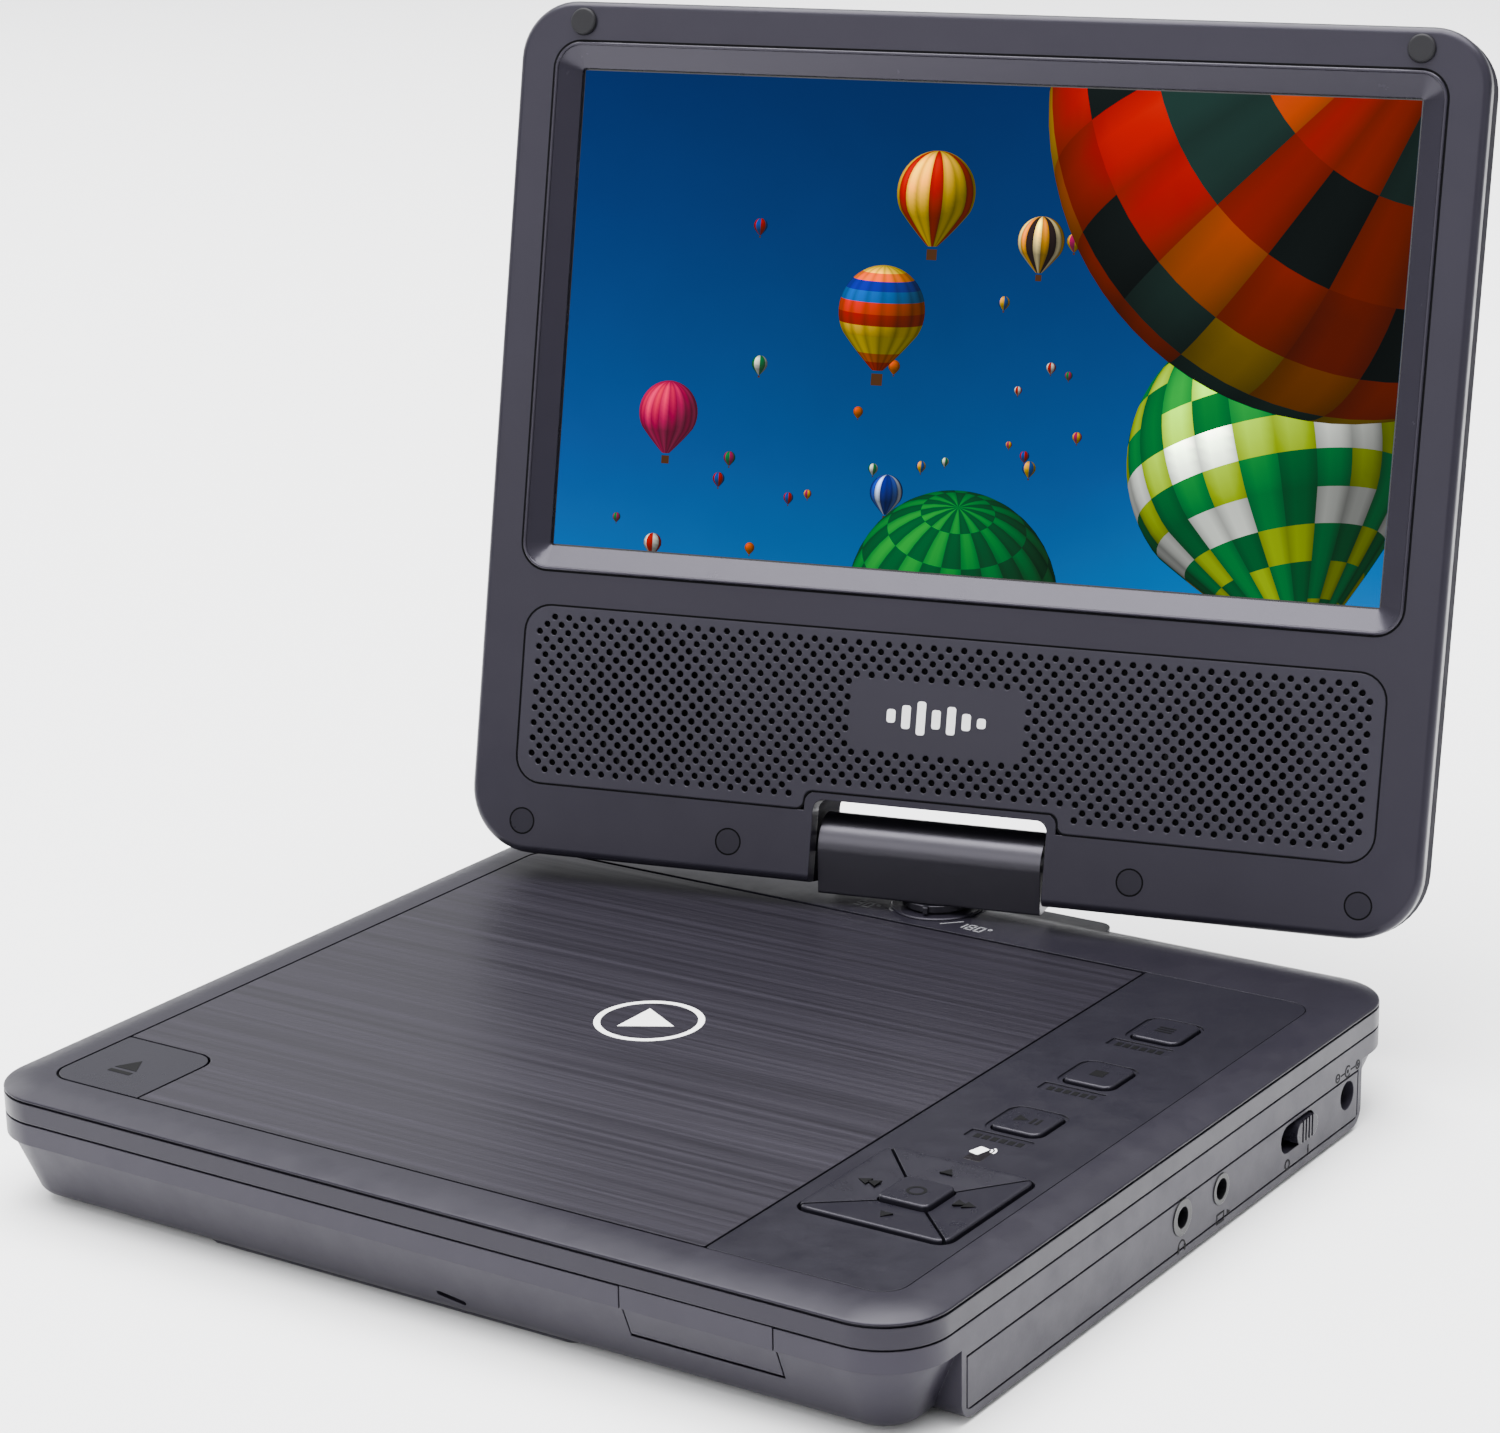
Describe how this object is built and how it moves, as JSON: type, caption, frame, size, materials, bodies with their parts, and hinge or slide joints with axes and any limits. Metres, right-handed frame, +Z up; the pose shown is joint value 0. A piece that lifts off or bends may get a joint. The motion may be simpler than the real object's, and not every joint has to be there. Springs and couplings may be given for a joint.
{
  "type": "portable disc player",
  "caption": "Portable disc player: clamshell base with disc lid, keys and side sockets, and a screen half with speakers on a centre hinge that tilts and swivels.",
  "frame": {"origin": "middle of the underside, on the face of the centre foot, level with the surface the player stands on", "axes": "+X to the right-hand socket side, +Y to the hinge at the rear, +Z up"},
  "size_m": [0.1837, 0.2141, 0.1756],
  "materials": {
    "shell_dark": "fine satin texture",
    "shell_lower": "fine satin texture",
    "lid_brushed": "brushed lines along the width",
    "panel_dark": "satin",
    "key_dark": "satin",
    "hinge_dark": "smooth satin gloss",
    "frame_satin": "satin",
    "screen_glass": "display surface",
    "rubber_dark": "matte",
    "steel": "brushed",
    "zinc": "stamped",
    "board_green": "solder mask",
    "white_plastic": "satin",
    "black_plastic": "satin",
    "cell_wrap": "shrink wrap",
    "ir_lens": "dark translucent",
    "lens_clear": "clear",
    "cone_paper": "pressed fibre",
    "brass": "plated"
  },
  "bodies": {
    "base": {"bottom_case": "shell_lower", "top_case": "shell_dark", "key_panel": "panel_dark", "ir_window": "ir_lens", "key_board": "board_green", "main_board": "board_green", "earphone_jack": "black_plastic", "av_jack": "black_plastic", "dc_jack": "black_plastic", "switch_body": "black_plastic", "port_board": "board_green", "usb_socket": "zinc", "drive_chassis": "zinc", "guide_rods": "steel", "dampers": "rubber_dark", "spindle_motor": "zinc", "sled_motor": "zinc", "motor_strap": "zinc", "battery_pack": "cell_wrap", "battery_cover": "shell_lower", "feet": "rubber_dark", "case_screws": "steel", "swivel_bush": "shell_dark", "lid_hinge_pins": "steel"},
    "disc_cover": {"disc_lid": "shell_dark", "disc_lid_skin": "lid_brushed"},
    "release_button": {"open_button": "key_dark"},
    "latch": {"latch_slider": "white_plastic"},
    "switch_knob": {"power_knob": "key_dark"},
    "side_flap": {"port_flap": "shell_lower"},
    "front_key": {"key_front": "key_dark"},
    "middle_key": {"key_middle": "key_dark"},
    "rear_key": {"key_rear": "key_dark"},
    "right_pad": {"pad_right": "key_dark"},
    "rear_pad": {"pad_rear": "key_dark"},
    "left_pad": {"pad_left": "key_dark"},
    "front_pad": {"pad_front": "key_dark"},
    "centre_pad": {"pad_centre": "key_dark"},
    "spindle": {"turntable": "white_plastic"},
    "sled": {"pickup_sled": "black_plastic", "pickup_lens": "lens_clear"},
    "feed_screw": {"lead_screw": "white_plastic"},
    "swivel": {"hinge_barrel": "hinge_dark", "swivel_post": "hinge_dark", "swivel_nut": "steel", "tilt_shafts": "steel", "shaft_brackets": "zinc", "friction_washers": "steel"},
    "screen": {"bezel": "shell_dark", "rear_shell": "shell_lower", "screen_frame": "frame_satin", "lcd_panel": "screen_glass", "backlight": "zinc", "driver_board": "board_green", "grille": "panel_dark", "speakers": "cone_paper", "bumpers": "rubber_dark", "screw_caps": "key_dark", "lid_screws": "steel", "hinge_leaves": "zinc"}
  },
  "joints": [
    {"name": "screen_swivel", "type": "hinge", "parent": "base", "child": "swivel", "pos_m": [0, 0.0778, 0.031], "axis": [0, 0, 1], "range_deg": [-13.41, 166.59]},
    {"name": "screen_tilt", "type": "hinge", "parent": "swivel", "child": "screen", "pos_m": [0, 0.0778, 0.031], "axis": [0.9727, 0.2319, 0], "range_deg": [-75.33, 104.67]},
    {"name": "disc_lid_hinge", "type": "hinge", "parent": "base", "child": "disc_cover", "pos_m": [-0.01603, 0.0625, 0.0186], "axis": [-1, 0, 0], "range_deg": [0, 21]},
    {"name": "open_press", "type": "slide", "parent": "base", "child": "release_button", "axis": [0, 0, -1], "range_m": [0, 0.001], "stiffness_N_per_m": 250, "springref_m": -0.0006},
    {"name": "latch_slide", "type": "slide", "parent": "base", "child": "latch", "axis": [0, 1, 0], "range_m": [0, 0.001]},
    {"name": "front_key_press", "type": "slide", "parent": "base", "child": "front_key", "axis": [0, 0, -1], "range_m": [0, 0.0004], "stiffness_N_per_m": 250, "springref_m": -0.0006},
    {"name": "middle_key_press", "type": "slide", "parent": "base", "child": "middle_key", "axis": [0, 0, -1], "range_m": [0, 0.0004], "stiffness_N_per_m": 250, "springref_m": -0.0006},
    {"name": "rear_key_press", "type": "slide", "parent": "base", "child": "rear_key", "axis": [0, 0, -1], "range_m": [0, 0.0004], "stiffness_N_per_m": 250, "springref_m": -0.0006},
    {"name": "pad_right_press", "type": "slide", "parent": "base", "child": "right_pad", "axis": [0, 0, -1], "range_m": [0, 0.0004], "stiffness_N_per_m": 250, "springref_m": -0.0006},
    {"name": "pad_rear_press", "type": "slide", "parent": "base", "child": "rear_pad", "axis": [0, 0, -1], "range_m": [0, 0.0004], "stiffness_N_per_m": 250, "springref_m": -0.0006},
    {"name": "pad_left_press", "type": "slide", "parent": "base", "child": "left_pad", "axis": [0, 0, -1], "range_m": [0, 0.0004], "stiffness_N_per_m": 250, "springref_m": -0.0006},
    {"name": "pad_front_press", "type": "slide", "parent": "base", "child": "front_pad", "axis": [0, 0, -1], "range_m": [0, 0.0004], "stiffness_N_per_m": 250, "springref_m": -0.0006},
    {"name": "centre_press", "type": "slide", "parent": "base", "child": "centre_pad", "axis": [0, 0, -1], "range_m": [0, 0.0004], "stiffness_N_per_m": 250, "springref_m": -0.0006},
    {"name": "power_slide", "type": "slide", "parent": "base", "child": "switch_knob", "axis": [0, 1, 0], "range_m": [-0.004, 0]},
    {"name": "flap_hinge", "type": "hinge", "parent": "base", "child": "side_flap", "pos_m": [0.05225, -0.0716, 0.0078], "axis": [1, 0, 0], "range_deg": [0, 80]},
    {"name": "spindle_spin", "type": "hinge", "parent": "base", "child": "spindle", "pos_m": [-0.01603, 0, 0.015], "axis": [0, 0, 1], "continuous": true},
    {"name": "sled_slide", "type": "slide", "parent": "base", "child": "sled", "axis": [1, 0, 0], "range_m": [-0.005, 0.027]},
    {"name": "feed_screw_spin", "type": "hinge", "parent": "base", "child": "feed_screw", "pos_m": [0.02, -0.0226, 0.007], "axis": [1, 0, 0], "range_deg": [-310, 1630]}
  ],
  "couplings": [
    {"joint": "latch_slide", "follows": "open_press", "ratio": 1},
    {"joint": "feed_screw_spin", "follows": "sled_slide", "rad_per_m": 1047.2}
  ]
}
